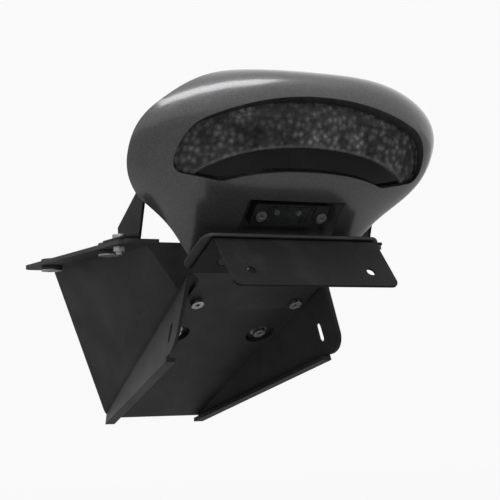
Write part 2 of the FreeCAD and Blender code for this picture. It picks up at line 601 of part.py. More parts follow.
def plate_bracket():
    """A folded sheet: a tab under the rear panel and a face that leans down and back."""
    fold = "bracket_wall - panel_rear"
    low = "-panel_wall - bracket_wall"
    tip_u = f"{fold} - bracket_face * sin(bracket_lean)"
    tip_v = f"{low} - bracket_face * cos(bracket_lean)"
    across, along = "bracket_wall * cos(bracket_lean)", "bracket_wall * sin(bracket_lean)"
    crest = f"{fold} - {across} + (bracket_wall - {along}) * tan(bracket_lean)"
    end = f"{fold} + bracket_tab"
    corners = ((crest, "-panel_wall"), (end, "-panel_wall"), (end, low), (fold, low), (tip_u, tip_v),
               (f"{tip_u} - {across}", f"{tip_v} + {along}"))
    sheet_body = padded("bracket_sheet", "YZ_Plane", corners, "-bracket_half", "2 * bracket_half")
    place(sheet_body, *on(SLOPE, 0, 0, 0), *upward(SLOPE))
    # The fold is bent round: one arc inside, and one a wall larger outside.
    crease = Vector(0, -size("seam_reach"), -size("seam_drop"))
    crease += along_frame(SLOPE, "u") * (size("bracket_wall") - size("panel_rear"))
    crease -= along_frame(SLOPE, "v") * (size("panel_wall") + size("bracket_wall"))
    wall, inside = size("bracket_wall"), size("bracket_fold")
    bent = round_edges("bracket_outer_bend", sheet_body, inside + wall, Vector(1, 0, 0),
                       lambda middle: wall < (middle - crease).Length < 2 * wall)
    bent = round_edges("bracket_inner_bend", bent, inside, Vector(1, 0, 0),
                       lambda middle: (middle - crease).Length < wall / 2)
    face_out = Rotation(Vector(1, 0, 0), -size("slope") - size("bracket_lean")).multVec(Vector(0, 1, 0))
    rounded = round_edges("bracket_rounded", bent, size("bracket_corner"), face_out)
    holes, bolts, washers, nuts = [], [], [], []
    grip = "washer_wall + bracket_wall + panel_wall + cowl_wall + nut_tall + nut_stick"
    for side, name in SIDES:
        at = (f"{side} * bracket_bolt_place", "bracket_bolt_set - panel_rear")
        holes.append(rod(f"{name}_tab_bolt_hole", SLOPE, BOLT_HOLE, *at, (f"2 * ({low})", 0)))
        rivet_at = (f"{side} * rivet_place", "-rivet_set")
        holes.append(rod(f"{name}_rivet_room", SLOPE, "rivet_head_radius + clearance", *rivet_at,
                         (f"2 * ({low})", 0)))
        plate_at = (f"{side} * plate_hole_place", f"{fold} - plate_hole_set * sin(bracket_lean)",
                    f"{low} - plate_hole_set * cos(bracket_lean)")
        holes.append(cylinder(f"{name}_plate_hole", "plate_hole_radius", "8 * bracket_wall",
                              *on(SLOPE, *plate_at), (1, 0, 0), "90 - slope - bracket_lean"))
        bolts.append(screw(f"{name}_bracket_bolt", "bolt", grip, *on(SLOPE, *at, f"{low} - washer_wall"),
                           downward(SLOPE)))
        washers.append(washer(f"{name}_bracket_washer", SLOPE, *at, f"{low} - washer_wall"))
        nuts.append(nut(f"{name}_bracket_nut", SLOPE, *at, "cowl_wall"))
    node("plate_bracket", cut("bracket", rounded, fuse("bracket_holes", *holes)))
    node("bracket_bolts", group("bracket_bolt_pair", bolts))
    node("bracket_washers", group("bracket_washer_pair", washers))
    node("bracket_nuts", group("bracket_nut_pair", nuts))


def floor_at(y):
    """Height of the undertray's lower face at one place along it."""
    return f"-seam_drop - (({y}) + seam_reach) * tan(slope)"


def pan(name, rear, front, inset, rise, top):
    """The undertray's pan or its room, from one place along it to another."""
    ends = []
    for end, y, half in (("rear", rear, "tray_rear_half"), ("front", front, "tray_front_half")):
        low = f"{floor_at(y)} + {rise}"
        foot, mouth = f"({half} - {inset})", f"(tray_top_half - {inset})"
        corners = ((f"-{foot}", low), (foot, low), (mouth, top), (f"-{mouth}", top))
        ends.append(section(f"{name}_{end}", y, corners))
    block = loft(f"{name}_block", ends)
    doc.recompute()
    edges = []
    radius = size("tray_edge") - inset_value(inset)
    for number, edge in enumerate(block.Shape.Edges, start=1):
        middle = edge.CenterOfMass
        along = abs(edge.tangentAt(edge.FirstParameter).y)
        if along > 0.5 and middle.z < -size("seam_drop") - size("tray_wall"):
            edges.append((number, radius, radius))
    rounded = add("Part::Fillet", name)
    rounded.Base = block
    rounded.Edges = edges
    return rounded


def inset_value(inset):
    return size(inset) if inset in ALIASES else float(inset)


def skirt(name, side):
    """A side skirt under the floor's edge, deep behind and shallow in front, with a turned lip."""
    ends = []
    for end, y, half, deep in (("rear", "-skirt_rear", "tray_rear_half", "skirt_rear_deep"),
                               ("front", "tray_front", "tray_front_half", "skirt_front_deep")):
        top = floor_at(y)
        outer = f"({half} + skirt_flare * {deep} / skirt_rear_deep)"
        root = f"{half} - tray_wall - tray_edge"
        roll = f"{outer} - skirt_lip - tray_wall"
        low = f"{top} - {deep}"
        corners = ((root, f"{top} + tray_wall"), (half, f"{top} + tray_wall"), (outer, low), (roll, low),
                   (roll, f"{low} + tray_wall"), (f"{outer} - tray_wall", f"{low} + tray_wall"),
                   (f"{half} - tray_wall", top), (root, top))
        ends.append(section(f"{name}_{end}", y, tuple((f"{side} * ({x})", z) for x, z in corners)))
    blade = loft(f"{name}_blade", ends)
    # The rear end's lower corner is cut round.
    low = f"{floor_at('-skirt_rear')} - skirt_rear_deep"
    corner = box(f"{name}_corner", (-FAR, FAR), ("-skirt_rear - skirt_round", "skirt_round - skirt_rear"),
                 (f"{low} - skirt_round", f"{low} + skirt_round"))
    round_end = cylinder(f"{name}_round_end", "skirt_round", 2 * FAR, -FAR, "skirt_round - skirt_rear",
                         f"{low} + skirt_round", *RIGHTWARD)
    return cut(name, blade, cut(f"{name}_waste", corner, round_end))


def skirt_slot(name, side):
    """An upright slot with round ends through a skirt."""
    long = "skirt_flare + 6 * tray_wall"
    start = "tray_rear_half - 2 * tray_wall" if side > 0 else f"2 * tray_wall - tray_rear_half - ({long})"
    ends = [cylinder(f"{name}_slot_end_{end + 1}", "slot_radius", long, start, "-slot_reach",
                     f"-slot_drop + {end} * (slot_long / 2 - slot_radius)", *RIGHTWARD) for end in (-1, 1)]
    middle = box(f"{name}_slot_middle", (start, f"{start} + {long}"),
                 ("-slot_reach - slot_radius", "-slot_reach + slot_radius"),
                 ("-slot_drop - slot_long / 2 + slot_radius", "-slot_drop + slot_long / 2 - slot_radius"))
    return fuse(f"{name}_slot", middle, *ends)


def undertray():
    front = "tray_front"
    block = pan("tray_block", "-seam_reach", front, 0, 0, "-mount_lip")
    room = pan("tray_room", "-seam_reach + tray_wall", f"{front} - tray_wall", "tray_wall",
               "tray_wall / cos(slope)", "tray_wall")
    shell = cut("tray_shell", block, room)
    extras, holes = [], []
    for side, name in SIDES:
        inner, outer = "tray_top_half - tray_wall", "tray_top_half + flange_width"
        across = (inner, outer) if side > 0 else (f"-({outer})", f"-({inner})")
        flange = box(f"{name}_flange", across, ("-flange_rear", front),
                     ("-mount_lip - tray_wall", "-mount_lip"))
        corner = round_edges(f"{name}_flange_round", flange, size("flange_corner"), Vector(0, 0, 1),
                             lambda middle: abs(middle.x) > size("tray_top_half"))
        extras.append(corner)
        extras.append(skirt(f"{name}_skirt", side))
        extras.append(rod(f"{name}_dimple_boss", SLOPE, "dimple_radius + tray_wall", f"{side} * dimple_place",
                          "dimple_set", (0, "dimple_deep + tray_wall")))
        rib_x = (f"{side} * rib_pitch / 2 - rib_wall / 2", f"{side} * rib_pitch / 2 + rib_wall / 2")
        rib_u = ("dimple_set + strap_half_wide + rib_gap", "(tray_front + seam_reach) / cos(slope) - rib_gap")
        extras.append(slab(f"{name}_rib", SLOPE, rib_x, rib_u, ("tray_wall / 2", "tray_wall + rib_tall")))
        holes.append(rod(f"{name}_dimple", SLOPE, "dimple_radius", f"{side} * dimple_place", "dimple_set",
                         ("-dimple_deep", "dimple_deep")))
        holes.append(rod(f"{name}_dimple_hole", SLOPE, BOLT_HOLE, f"{side} * dimple_place",
                         "dimple_set", (0, "4 * tray_wall")))
        holes.append(rod(f"{name}_seam_hole", SLOPE, BOLT_HOLE, f"{side} * seam_screw_place",
                         "panel_lap / 2", ("-tray_wall", "2 * tray_wall")))
        holes.append(cylinder(f"{name}_side_hole", BOLT_HOLE, "4 * tray_wall",
                              f"{side} * side_bolt_place", "-side_bolt_reach", "-mount_lip - 2 * tray_wall"))
        holes.append(skirt_slot(name, side))
        for end in (-1, 1):
            mount_at = (f"{side} * {MOUNT}", f"{end} * mount_half_pitch", "-mount_lip - 2 * tray_wall")
            holes.append(cylinder(f"{name}_mount_hole_{end + 1}", "mount_neck_radius", "4 * tray_wall",
                                  *mount_at))
    whole = fuse("tray_whole", shell, *extras)
    node("undertray", cut("tray", whole, fuse("tray_holes", *holes)))


def seam_fasteners():
    """Screws up through the panel and the undertray's rear edge, with nuts on the floor."""
    screws, nuts = [], []
    for side, name in SIDES:
        at = (f"{side} * seam_screw_place", "panel_lap / 2")
        screws.append(screw(f"{name}_seam_screw", "bolt", "panel_wall + tray_wall + nut_tall + nut_stick",
                            *on(SLOPE, *at, "-panel_wall"), downward(SLOPE)))
        nuts.append(nut(f"{name}_seam_nut", SLOPE, *at, "tray_wall"))
    node("seam_screws", group("seam_screw_pair", screws))
    node("seam_nuts", group("seam_nut_pair", nuts))


def dimple_fasteners():
    """Bolts in the dimples, with a strap across the bosses that spreads their load."""
    roof = "dimple_deep + tray_wall"
    bolts, washers, nuts, holes = [], [], [], []
    for side, name in SIDES:
        at = (f"{side} * dimple_place", "dimple_set")
        seat = "dimple_deep - washer_wall"
        washers.append(washer(f"{name}_dimple_washer", SLOPE, *at, seat))
        bolts.append(screw(f"{name}_dimple_bolt", "bolt",
                           "washer_wall + tray_wall + strap_wall + nut_tall + nut_stick",
                           *on(SLOPE, *at, seat), downward(SLOPE)))
        nuts.append(nut(f"{name}_dimple_nut", SLOPE, *at, f"{roof} + strap_wall"))
        holes.append(rod(f"{name}_strap_hole", SLOPE, BOLT_HOLE, *at,
                         (roof, f"{roof} + 2 * strap_wall")))
    half = "dimple_place + strap_end"
    along = ("dimple_set - strap_half_wide", "dimple_set + strap_half_wide")
    strap = slab("strap_blank", SLOPE, (f"-({half})", half), along, (roof, f"{roof} + strap_wall"))
    rounded = round_edges("strap_rounded", strap, size("strap_corner"), along_frame(SLOPE, "v"))
    node("inner_strap", cut("strap", rounded, fuse("strap_holes", *holes)))
    node("dimple_bolts", group("dimple_bolt_pair", bolts))
    node("dimple_washers", group("dimple_washer_pair", washers))
    node("dimple_nuts", group("dimple_nut_pair", nuts))


def side_brackets():
    """Folded brackets that carry the cowl's cheeks on the undertray's flanges."""
    rear = f"-{CHEEK_SCREW} - side_pad"
    low, high = "side_screw_height - side_pad", "side_screw_height + side_pad"
    turn = "-cowl_front + side_pad"
    seat = "-mount_lip"
    leg = ((rear, low), (turn, low), ("-side_foot_rear", seat), ("-side_foot_front", seat),
           ("-side_foot_front", f"{seat} + 2 * side_pad"), (turn, high), (rear, high))
    cowl_screws, side_bolts, side_nuts = [], [], []
    for side, name in SIDES:
        offset = "side_leg" if side > 0 else "-side_leg - side_wall"
        upright = padded(f"{name}_leg", "YZ_Plane", leg, offset, "side_wall")
        rounded = round_edges(f"{name}_leg_rounded", upright, size("side_corner"), Vector(1, 0, 0),
                              lambda middle: middle.y < -size("cowl_front"))
        across = ("side_leg", "side_leg + side_foot") if side > 0 else ("-side_leg - side_foot", "-side_leg")
        foot = box(f"{name}_foot", across, ("-side_foot_rear", "-side_foot_front"),
                   (seat, f"{seat} + side_wall"))
        foot_rounded = round_edges(f"{name}_foot_rounded", foot, size("side_pad") / 2, Vector(0, 0, 1),
                                   lambda middle: abs(middle.x) > size("side_leg") + size("side_wall"))
        bolt_at = (f"{side} * side_bolt_place", "-side_bolt_reach")
        screw_hole = cylinder(f"{name}_leg_hole", SCREW_HOLE, "4 * side_wall",
                              f"{side} * side_leg - 2 * side_wall", f"-{CHEEK_SCREW}", "side_screw_height",
                              *RIGHTWARD)
        bolt_hole = cylinder(f"{name}_foot_hole", BOLT_HOLE, "4 * side_wall", *bolt_at,
                             f"{seat} - side_wall")
        whole = fuse(f"{name}_bracket_whole", rounded, foot_rounded)
        both_holes = fuse(f"{name}_side_holes", screw_hole, bolt_hole)
        node(f"{name}_side_bracket", cut(f"{name}_side", whole, both_holes))
        inward = LEFTWARD if side > 0 else RIGHTWARD
        cowl_screws.append(screw(f"{name}_cowl_screw", "screw", "side_wall + cheek_screw_bite",
                                 f"{side} * side_leg", f"-{CHEEK_SCREW}", "side_screw_height", inward))
        side_bolts.append(screw(f"{name}_side_bolt", "bolt", "side_wall + tray_wall + nut_tall + nut_stick",
                                *bolt_at, f"{seat} + side_wall", UPRIGHT))
        hexagon = nut(f"{name}_side_nut", LEVEL, bolt_at[0], bolt_at[1], f"{seat} - tray_wall - nut_tall")
        side_nuts.append(hexagon)
    node("cowl_screws", group("cowl_screw_pair", cowl_screws))
    node("side_bolts", group("side_bolt_pair", side_bolts))
    node("side_nuts", group("side_nut_pair", side_nuts))


def subframe_mounts():
    """Rubber grommets in the flanges, each with a flanged steel collar for a subframe bolt."""
    grommets, collars = [], []
    low = "-2 * mount_lip - tray_wall"
    for side, name in SIDES:
        for end in (-1, 1):
            at = (f"{side} * {MOUNT}", f"{end} * mount_half_pitch")
            tag = f"{name}_{end + 1}"
            lips = [cylinder(f"{tag}_lip_{count}", "mount_grommet_radius", "mount_lip", *at, z)
                    for count, z in enumerate((low, "-mount_lip"))]
            neck = cylinder(f"{tag}_neck", "mount_neck_radius", "tray_wall", *at, "-mount_lip - tray_wall")
            bore = cylinder(f"{tag}_bore", "collar_radius", "3 * mount_lip + 2 * tray_wall", *at, low)
            grommets.append(cut(f"{tag}_grommet", fuse(f"{tag}_rubber", neck, *lips), bore))
            tube = cylinder(f"{tag}_tube", "collar_radius", "2 * mount_lip + tray_wall", *at, low)
            foot = f"{low} - collar_flange"
            brim = cylinder(f"{tag}_brim", "collar_flange_radius", "collar_flange", *at, foot)
            hole = cylinder(f"{tag}_hole", "collar_bore", "2 * mount_lip + tray_wall + collar_flange", *at,
                            foot)
            collars.append(cut(f"{tag}_collar", fuse(f"{tag}_sleeve", tube, brim), hole))
    node("mount_grommets", group("grommet_set", grommets))
    node("mount_collars", group("collar_set", collars))


tail_cowl()
tail_light()
plate_lamp()
rear_panel()
plate_bracket()
undertray()
seam_fasteners()
dimple_fasteners()
side_brackets()
subframe_mounts()
doc.recompute()
failed = [thing.Name for thing in doc.Objects if "Invalid" in thing.State or "Error" in thing.State]
if failed:
    raise RuntimeError(f"These did not build: {failed}")
for thing in NODES:
    if thing.Shape.isNull() or not thing.Shape.isValid():
        raise RuntimeError(f"{thing.Label} has no valid shape")

os.makedirs("parts", exist_ok=True)
for thing in NODES:
    thing.Shape.exportStep(f"parts/{thing.Label}.step")
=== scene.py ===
import json
import math

import bmesh
import bpy
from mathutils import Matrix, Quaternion, Vector
from mathutils.bvhtree import BVHTree


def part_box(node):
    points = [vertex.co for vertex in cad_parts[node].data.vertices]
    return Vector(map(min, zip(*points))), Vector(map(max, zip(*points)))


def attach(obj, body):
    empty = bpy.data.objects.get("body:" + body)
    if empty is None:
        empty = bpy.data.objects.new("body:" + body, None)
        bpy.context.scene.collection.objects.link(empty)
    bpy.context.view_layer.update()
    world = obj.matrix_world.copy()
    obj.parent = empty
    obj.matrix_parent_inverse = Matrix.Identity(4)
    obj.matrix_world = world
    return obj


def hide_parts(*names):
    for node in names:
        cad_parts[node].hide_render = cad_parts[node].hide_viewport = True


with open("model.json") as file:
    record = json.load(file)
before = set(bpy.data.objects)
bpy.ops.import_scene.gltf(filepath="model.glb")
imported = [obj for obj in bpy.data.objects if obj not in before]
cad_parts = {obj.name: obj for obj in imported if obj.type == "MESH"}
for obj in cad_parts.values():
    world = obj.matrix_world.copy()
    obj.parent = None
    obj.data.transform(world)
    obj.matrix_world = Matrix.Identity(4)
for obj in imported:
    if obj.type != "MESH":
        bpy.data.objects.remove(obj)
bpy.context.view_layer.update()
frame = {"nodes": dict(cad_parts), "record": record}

# Looks of a motorcycle undertail, in metres, in the frame of its solids:
# X is the rider's right, Y is forward and Z is up.

NODES = frame["nodes"]

# Camera: behind, to the left and a little below the tail
CAMERA_PLACE = Vector((-0.649, -1.180, -0.150))
CAMERA_AIM = Vector((0.004, -0.075, -0.006))
CAMERA_ROLL = math.radians(-2.5)
CAMERA_LENS_MM = 128
SENSOR_MM = 36

# Stage: the tail hangs over a wide pale floor, in a pale surround. The camera sees them nearly white,
# by shares of a white that doesn't light the tail.
FLOOR_HEIGHT = -1.3
FLOOR_HALF = 60.0
FLOOR_GREY = 0.5
FLOOR_WHITE_LEVEL = 1.0
FLOOR_SEEN_SHARE = 0.92
FLOOR_MIRRORED_SHARE = 0.15
SURROUND_LIGHT_LEVEL = 0.5
SURROUND_WHITE_LEVEL = 0.95

# Lamps: place, width and depth, watts, and whether gloss mirrors them. All are turned to the tail.
TAIL = Vector((0.0, -0.08, 0.0))
LAMPS = {
    "strip": ((-0.30, -0.68, 1.32), (2.0, 0.6), 38, True),
    "left": ((-1.6, -0.7, 0.5), (1.0, 1.0), 10, False),
    "right": ((1.7, 0.1, 0.5), (1.0, 1.0), 7, False),
    "low": ((-0.4, -1.2, -0.75), (1.2, 0.6), 2.0, False),
}

# Meshes of the solids: corners this close are one, faces this flat are one, and edges this sharp are rounded
WELD = 2e-6
FLAT_ANGLE = math.radians(0.5)
SHARP_ANGLE = math.radians(32)

# The lens's lower band ends on an ellipse over the chin, seen from behind
BAND_CENTRE = (0.0, 0.021)
BAND_HALF = (0.092, 0.032)

# The plate lamp's own frame: a place on the chin, a tilt about the line across the tail,
# and the depth of its lens's face from that place
LAMP_PLACE = Vector((0.0, -0.1415, 0.0075))
LAMP_TILT = math.radians(47)
LAMP_FACE = 0.004

# The rear panel and the undertray's floor slope by this tilt, and their bolts stand square to the slope
SLOPE_TILT = math.radians(27.9)
SLOPE_NORMAL = Vector((0, math.sin(SLOPE_TILT), math.cos(SLOPE_TILT)))
DOWN = Vector((0, 0, -1))


# Materials


class Shader:
    """A principled material under construction, with its noise in the frame's metres."""

    def __init__(self, name, colour, roughness, **sockets):
        self.material = bpy.data.materials.new(name)
        self.material.use_nodes = True
        self.tree = self.material.node_tree
        self.surface = self.tree.nodes["Principled BSDF"]
        self.put("Base Color", (*colour, 1.0))
        self.put("Roughness", roughness)
        for socket, value in sockets.items():
            self.put(socket.replace("_", " "), value)
        self.place = self.add("ShaderNodeTexCoord").outputs["Object"]
        self.bumps = None

    def add(self, kind, **values):
        node = self.tree.nodes.new(kind)
        for name, value in values.items():
            setattr(node, name, value)
        return node

    def put(self, socket, value):
        self.surface.inputs[socket].default_value = value

    def link(self, output, target):
        self.tree.links.new(output, target)

    def noise(self, scale, detail=3.0, roughness=0.55, stretch=None):
        """Cloudy noise, scale in features per metre."""
        node = self.add("ShaderNodeTexNoise")
        node.inputs["Scale"].default_value = scale
        node.inputs["Detail"].default_value = detail
        node.inputs["Roughness"].default_value = roughness
        self.link(self.stretched(stretch), node.inputs["Vector"])
        return node.outputs["Fac"]

    def cells(self, scale, feature="F1"):
        """Distance inside random cells, scale in cells per metre."""
        node = self.add("ShaderNodeTexVoronoi", feature=feature)
        node.inputs["Scale"].default_value = scale
        self.link(self.place, node.inputs["Vector"])
        return node.outputs["Distance"]

    def stretched(self, stretch):
        if stretch is None:
            return self.place
        node = self.add("ShaderNodeMapping")
        node.inputs["Scale"].default_value = stretch
        self.link(self.place, node.inputs["Vector"])
        return node.outputs["Vector"]

    def ramp(self, value, stops):
        """Colours or greys at places along a value."""
        node = self.add("ShaderNodeValToRGB")
        elements = node.color_ramp.elements
        while len(elements) < len(stops):
            elements.new(0.5)
        for element, (position, colour) in zip(elements, stops):
            element.position = position
            element.color = (*colour, 1.0) if isinstance(colour, tuple) else (colour, colour, colour, 1.0)
        self.link(value, node.inputs["Fac"])
        return node.outputs["Color"]

    def mix(self, share, first, second, blend="MIX"):
        node = self.add("ShaderNodeMix", data_type="RGBA", blend_type=blend)
        for socket, value in (("Factor", share), ("A", first), ("B", second)):
            target = [entry for entry in node.inputs if entry.name == socket and entry.enabled][0]
            if hasattr(value, "is_linked"):
                self.link(value, target)
            else:
                target.default_value = value
        return [entry for entry in node.outputs if entry.enabled][0]

    def bump(self, height, distance, strength=1.0):
        """Add relief of a real depth in metres."""
        node = self.add("ShaderNodeBump")
        node.inputs["Distance"].default_value = distance
        node.inputs["Strength"].default_value = strength
        self.link(height, node.inputs["Height"])
        if self.bumps is not None:
            self.link(self.bumps, node.inputs["Normal"])
        self.bumps = node.outputs["Normal"]
        self.link(self.bumps, self.surface.inputs["Normal"])

    def soften(self, radius):
        """Round the look of sharp edges by a radius in metres."""
        node = self.add("ShaderNodeBevel", samples=6)
        node.inputs["Radius"].default_value = radius
        self.bumps = node.outputs["Normal"]
        self.link(self.bumps, self.surface.inputs["Normal"])

    def ellipse(self, centre, half):
        """Distance from a point over half sizes, seen from behind: 1 on an ellipse."""
        move = self.add("ShaderNodeMapping", vector_type="TEXTURE")
        move.inputs["Location"].default_value = (centre[0], 0.0, centre[1])
        move.inputs["Scale"].default_value = (half[0], 1.0, half[1])
        flat = self.add("ShaderNodeVectorMath", operation="MULTIPLY")
        flat.inputs[1].default_value = (1.0, 0.0, 1.0)
        length = self.add("ShaderNodeVectorMath", operation="LENGTH")
        self.link(self.place, move.inputs["Vector"])
        self.link(move.outputs["Vector"], flat.inputs[0])
        self.link(flat.outputs["Vector"], length.inputs[0])
        return length.outputs["Value"]

    def limited(self, value, low, high):
        """A value between two limits, as 0 to 1."""
        node = self.add("ShaderNodeMapRange")
        node.inputs["From Min"].default_value = low
        node.inputs["From Max"].default_value = high
        self.link(value, node.inputs["Value"])
        return node.outputs["Result"]

    def colour(self, output):
        self.link(output, self.surface.inputs["Base Color"])

    def rough(self, value, low, high):
        """Roughness that follows a value between two limits."""
        node = self.add("ShaderNodeMapRange")
        node.inputs["To Min"].default_value = low
        node.inputs["To Max"].default_value = high
        self.link(value, node.inputs["Value"])
        self.link(node.outputs["Result"], self.surface.inputs["Roughness"])


def cowl_paint():
    """Dark grey metallic paint under clear lacquer, with fine flake and a thin film of dust."""
    paint = Shader("cowl_paint", (0.050, 0.050, 0.0515), 0.40, Metallic=0.5, Specular_IOR_Level=0.1,
                   Coat_Weight=1.0, Coat_Roughness=0.18, Coat_IOR=1.45)
    paint.soften(0.0007)
    flake = paint.ramp(paint.cells(1400), ((0.15, (0.036, 0.036, 0.0375)), (0.7, (0.070, 0.070, 0.0725))))
    dust = paint.ramp(paint.noise(26, 5), ((0.5, 0.0), (0.85, 0.06)))
    paint.colour(paint.mix(dust, flake, (0.18, 0.177, 0.17, 1.0)))
    paint.rough(paint.noise(60, 4), 0.34, 0.48)
    paint.bump(paint.noise(420, 2), 0.00003, 0.5)
    return paint.material


def smoked_lens():
    """Smoked polished plastic: moulded cells behind its face, painted with the glints their facets catch, and
    a plain dark band along its lower edge, with a painted highlight along the band's edge.
    """
    lens = Shader("smoked_lens", (0.012, 0.012, 0.0125), 0.05, Specular_IOR_Level=0.22)
    lens.soften(0.0005)
    from_band = lens.ellipse(BAND_CENTRE, BAND_HALF)
    over_band = lens.limited(from_band, 0.985, 1.005)
    # The moulded cells are painted with the glints their facets catch: bright at each cell's middle, patchy
    # under clouds of noise.
    cells = lens.ramp(lens.cells(210), ((0.08, (0.25, 0.25, 0.253)), (0.35, (0.120, 0.120, 0.122)),
                                        (0.62, (0.042, 0.042, 0.0425))))
    clouds = lens.ramp(lens.noise(55, 4), ((0.33, (0.25, 0.25, 0.25)), (0.64, (1.0, 1.0, 1.0))))
    painted_highlights = lens.mix(1.0, cells, clouds, "MULTIPLY")
    # A painted highlight along the edge of the lower band, where its fold catches the light.
    painted_band_edge_highlight = lens.ramp(lens.limited(from_band, 0.98, 1.10), ((0.05, 0.0), (0.25, 0.5), (0.7, 0.0)))
    painted_highlights = lens.mix(painted_band_edge_highlight, painted_highlights, (0.17, 0.17, 0.172, 1.0))
    film = lens.ramp(lens.noise(40, 5), ((0.45, (0.004, 0.004, 0.0042)), (0.9, (0.010, 0.010, 0.0102))))
    lens.colour(lens.mix(over_band, film, painted_highlights))
    lens.link(lens.ramp(over_band, ((0.0, 0.94), (1.0, 0.64))), lens.surface.inputs["Alpha"])
    lens.rough(lens.noise(90, 4), 0.03, 0.10)
    lens.bump(lens.noise(300, 2), 0.00002, 0.4)
    return lens.material


def black_plastic():
    """Black moulded plastic with a fine grain, dulled by road dust and scuffs."""
    plastic = Shader("black_plastic", (0.020, 0.020, 0.0205), 0.52, Specular_IOR_Level=0.16)
    plastic.soften(0.0007)
    shade = plastic.ramp(plastic.noise(34, 6), ((0.35, (0.015, 0.015, 0.0154)),
                                                (0.75, (0.026, 0.026, 0.0264))))
    dust = plastic.ramp(plastic.noise(9, 7, 0.62), ((0.5, 0.0), (0.78, 0.14)))
    scuffs = plastic.ramp(plastic.noise(150, 8, 0.7, stretch=(1.0, 0.12, 0.12)), ((0.60, 0.0), (0.76, 0.30)))
    dusty = plastic.mix(dust, shade, (0.10, 0.097, 0.092, 1.0))
    plastic.colour(plastic.mix(scuffs, dusty, (0.065, 0.064, 0.062, 1.0)))
    plastic.rough(plastic.noise(22, 6), 0.40, 0.64)
    plastic.bump(plastic.noise(1100, 2), 0.00012, 0.6)
    plastic.bump(plastic.noise(30, 3), 0.0003, 0.2)
    return plastic.material


def black_metal():
    """Satin powder coat with its slight orange peel and rubbed patches."""
    coat = Shader("black_metal", (0.009, 0.009, 0.0093), 0.45, Specular_IOR_Level=0.09)
    coat.colour(coat.ramp(coat.noise(48, 6), ((0.5, (0.005, 0.005, 0.0052)), (0.85, (0.015, 0.015, 0.0154)))))
    coat.rough(coat.noise(30, 5), 0.36, 0.56)
    coat.bump(coat.noise(700, 2), 0.0001, 0.6)
    return coat.material


def black_rubber():
    """Dull rubber, paler where dust has settled."""
    rubber = Shader("black_rubber", (0.018, 0.018, 0.018), 0.72)
    rubber.colour(rubber.ramp(rubber.noise(160, 5), ((0.4, (0.014, 0.014, 0.014)),
                                                     (0.8, (0.036, 0.035, 0.034)))))
    rubber.rough(rubber.noise(120, 4), 0.62, 0.85)
    rubber.bump(rubber.noise(1800, 2), 0.00005, 0.5)
    return rubber.material


def zinc_steel():
    """Bright plated steel with duller spots."""
    zinc = Shader("zinc_steel", (0.44, 0.44, 0.45), 0.34, Metallic=1.0)
    zinc.colour(zinc.ramp(zinc.noise(260, 5), ((0.35, (0.26, 0.26, 0.26)), (0.7, (0.44, 0.44, 0.45)))))
    zinc.rough(zinc.noise(500, 4), 0.32, 0.52)
    zinc.bump(zinc.noise(2600, 2), 0.00003, 0.4)
    return zinc.material


def bright_reflector():
    """Plated plastic, clouded where it has aged."""
    plate = Shader("bright_reflector", (0.62, 0.62, 0.63), 0.16, Metallic=1.0)
    plate.colour(plate.ramp(plate.noise(70, 4), ((0.3, (0.34, 0.34, 0.35)), (0.7, (0.66, 0.66, 0.67)))))
    plate.rough(plate.noise(200, 3), 0.22, 0.38)
    plate.bump(plate.noise(90, 2), 0.0003, 0.3)
    return plate.material


def circuit_board():
    """Green board with paler tracks."""
    board = Shader("circuit_board", (0.02, 0.09, 0.04), 0.4)
    board.colour(board.ramp(board.cells(220, "DISTANCE_TO_EDGE"), ((0.03, (0.03, 0.10, 0.05)),
                                                                   (0.09, (0.010, 0.045, 0.02)))))
    board.rough(board.noise(300, 3), 0.3, 0.5)
    return board.material


def lamp_resin():
    """Pale glossy resin of the small lamps."""
    resin = Shader("lamp_resin", (0.75, 0.75, 0.72), 0.25, Coat_Weight=0.4)
    resin.colour(resin.ramp(resin.noise(400, 3), ((0.3, (0.62, 0.62, 0.58)), (0.8, (0.82, 0.82, 0.80)))))
    resin.rough(resin.noise(300, 3), 0.15, 0.35)
    return resin.material


def clear_lens():
    """Clear plastic, slightly hazed, with fine lines across the lamp."""
    clear = Shader("clear_lens", (0.06, 0.061, 0.061), 0.08, Alpha=0.3, Specular_IOR_Level=0.5)
    clear.colour(clear.ramp(clear.noise(120, 4), ((0.4, (0.04, 0.041, 0.041)), (0.85, (0.09, 0.091, 0.091)))))
    clear.rough(clear.noise(200, 4), 0.05, 0.16)
    clear.bump(clear.noise(900, 2, stretch=(1.0, 0.05, 0.05)), 0.0002, 0.6)
    return clear.material


MATERIALS = {
    "cowl_paint": cowl_paint(),
    "smoked_lens": smoked_lens(),
    "black_plastic": black_plastic(),
    "black_metal": black_metal(),
    "black_rubber": black_rubber(),
    "zinc_steel": zinc_steel(),
    "bright_reflector": bright_reflector(),
    "circuit_board": circuit_board(),
    "lamp_resin": lamp_resin(),
    "clear_lens": clear_lens(),
}

SLOT_OF = {part["node"]: part["material_slot"] for part in frame["record"]["subparts"]}
for name, slot in SLOT_OF.items():
    for entry in NODES[name].material_slots:
        entry.material = MATERIALS[slot]


# Pieces


def piece(name, mesh, slot):
    """A new piece of the object, in its slot's finish."""
    mesh.materials.append(MATERIALS[slot])
    thing = bpy.data.objects.new(name, mesh)
    bpy.context.collection.objects.link(thing)
    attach(thing, "root")
    return thing


def mesh_of(name, body):
    """A plain mesh from a working mesh, without any stored normals."""
    body.verts.index_update()
    mesh = bpy.data.meshes.new(name)
    mesh.from_pydata([corner.co.copy() for corner in body.verts], [],
                     [[corner.index for corner in face.verts] for face in body.faces])
    body.free()
    return mesh


def smooth(mesh, degrees):
    """Smooth shading, broken at edges sharper than an angle."""
    mesh.shade_smooth()
    mesh.set_sharp_from_angle(angle=math.radians(degrees))


def welded(node):
    """A working mesh of a node's solids."""
    body = bmesh.new()
    body.from_mesh(NODES[node].data)
    bmesh.ops.remove_doubles(body, verts=body.verts, dist=WELD)
    return body


